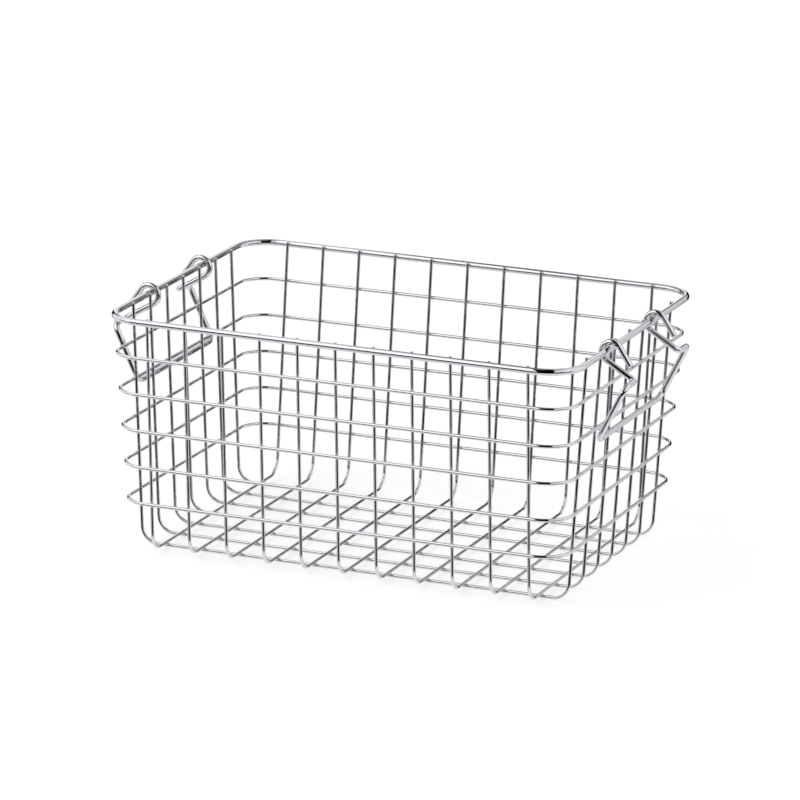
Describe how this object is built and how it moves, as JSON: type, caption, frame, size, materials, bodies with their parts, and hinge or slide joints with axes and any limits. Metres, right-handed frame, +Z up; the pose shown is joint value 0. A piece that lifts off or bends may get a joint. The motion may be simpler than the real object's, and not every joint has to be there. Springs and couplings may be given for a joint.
{
  "type": "wire mesh basket",
  "caption": "Rectangular welded wire mesh basket with a thick rounded rim, walls that draw in towards an open grid floor, and a swinging bail handle on each end.",
  "frame": {"origin": "middle of the floor, on the surface that the basket stands on", "axes": "+X to the right along the long side, +Y from the front long wall to the back one, +Z up"},
  "size_m": [0.4098, 0.275, 0.1897],
  "materials": {
    "rim_steel": "polished bright, faint drawing lines along the wire, duller at the butt weld",
    "hoop_steel": "polished bright, faint drawing lines, small dull weld marks at the crossings",
    "cross_wire_steel": "polished bright, small dull weld marks at the crossings",
    "long_wire_steel": "polished bright, small dull weld marks at the crossings",
    "handle_steel": "polished bright, slightly rubbed inside the eyes and along the grip"
  },
  "bodies": {
    "basket": {"rim": "rim_steel", "hoop_1": "hoop_steel", "hoop_2": "hoop_steel", "hoop_3": "hoop_steel", "hoop_4": "hoop_steel", "hoop_5": "hoop_steel", "cross_wire_01": "cross_wire_steel", "cross_wire_02": "cross_wire_steel", "cross_wire_03": "cross_wire_steel", "cross_wire_04": "cross_wire_steel", "cross_wire_05": "cross_wire_steel", "cross_wire_06": "cross_wire_steel", "cross_wire_07": "cross_wire_steel", "cross_wire_08": "cross_wire_steel", "cross_wire_09": "cross_wire_steel", "cross_wire_10": "cross_wire_steel", "cross_wire_11": "cross_wire_steel", "long_wire_1": "long_wire_steel", "long_wire_2": "long_wire_steel", "long_wire_3": "long_wire_steel", "long_wire_4": "long_wire_steel", "long_wire_5": "long_wire_steel", "long_wire_6": "long_wire_steel", "long_wire_7": "long_wire_steel"},
    "left_handle": {"left_handle": "handle_steel"},
    "right_handle": {"right_handle": "handle_steel"}
  },
  "joints": [
    {"name": "left_handle_swing", "type": "hinge", "parent": "basket", "child": "left_handle", "pos_m": [-0.1825, -0.0026, 0.182], "axis": [0, 1, 0], "range_deg": [-3, 297]},
    {"name": "right_handle_swing", "type": "hinge", "parent": "basket", "child": "right_handle", "pos_m": [0.1825, -0.0058, 0.182], "axis": [0, -1, 0], "range_deg": [-3, 297]}
  ]
}
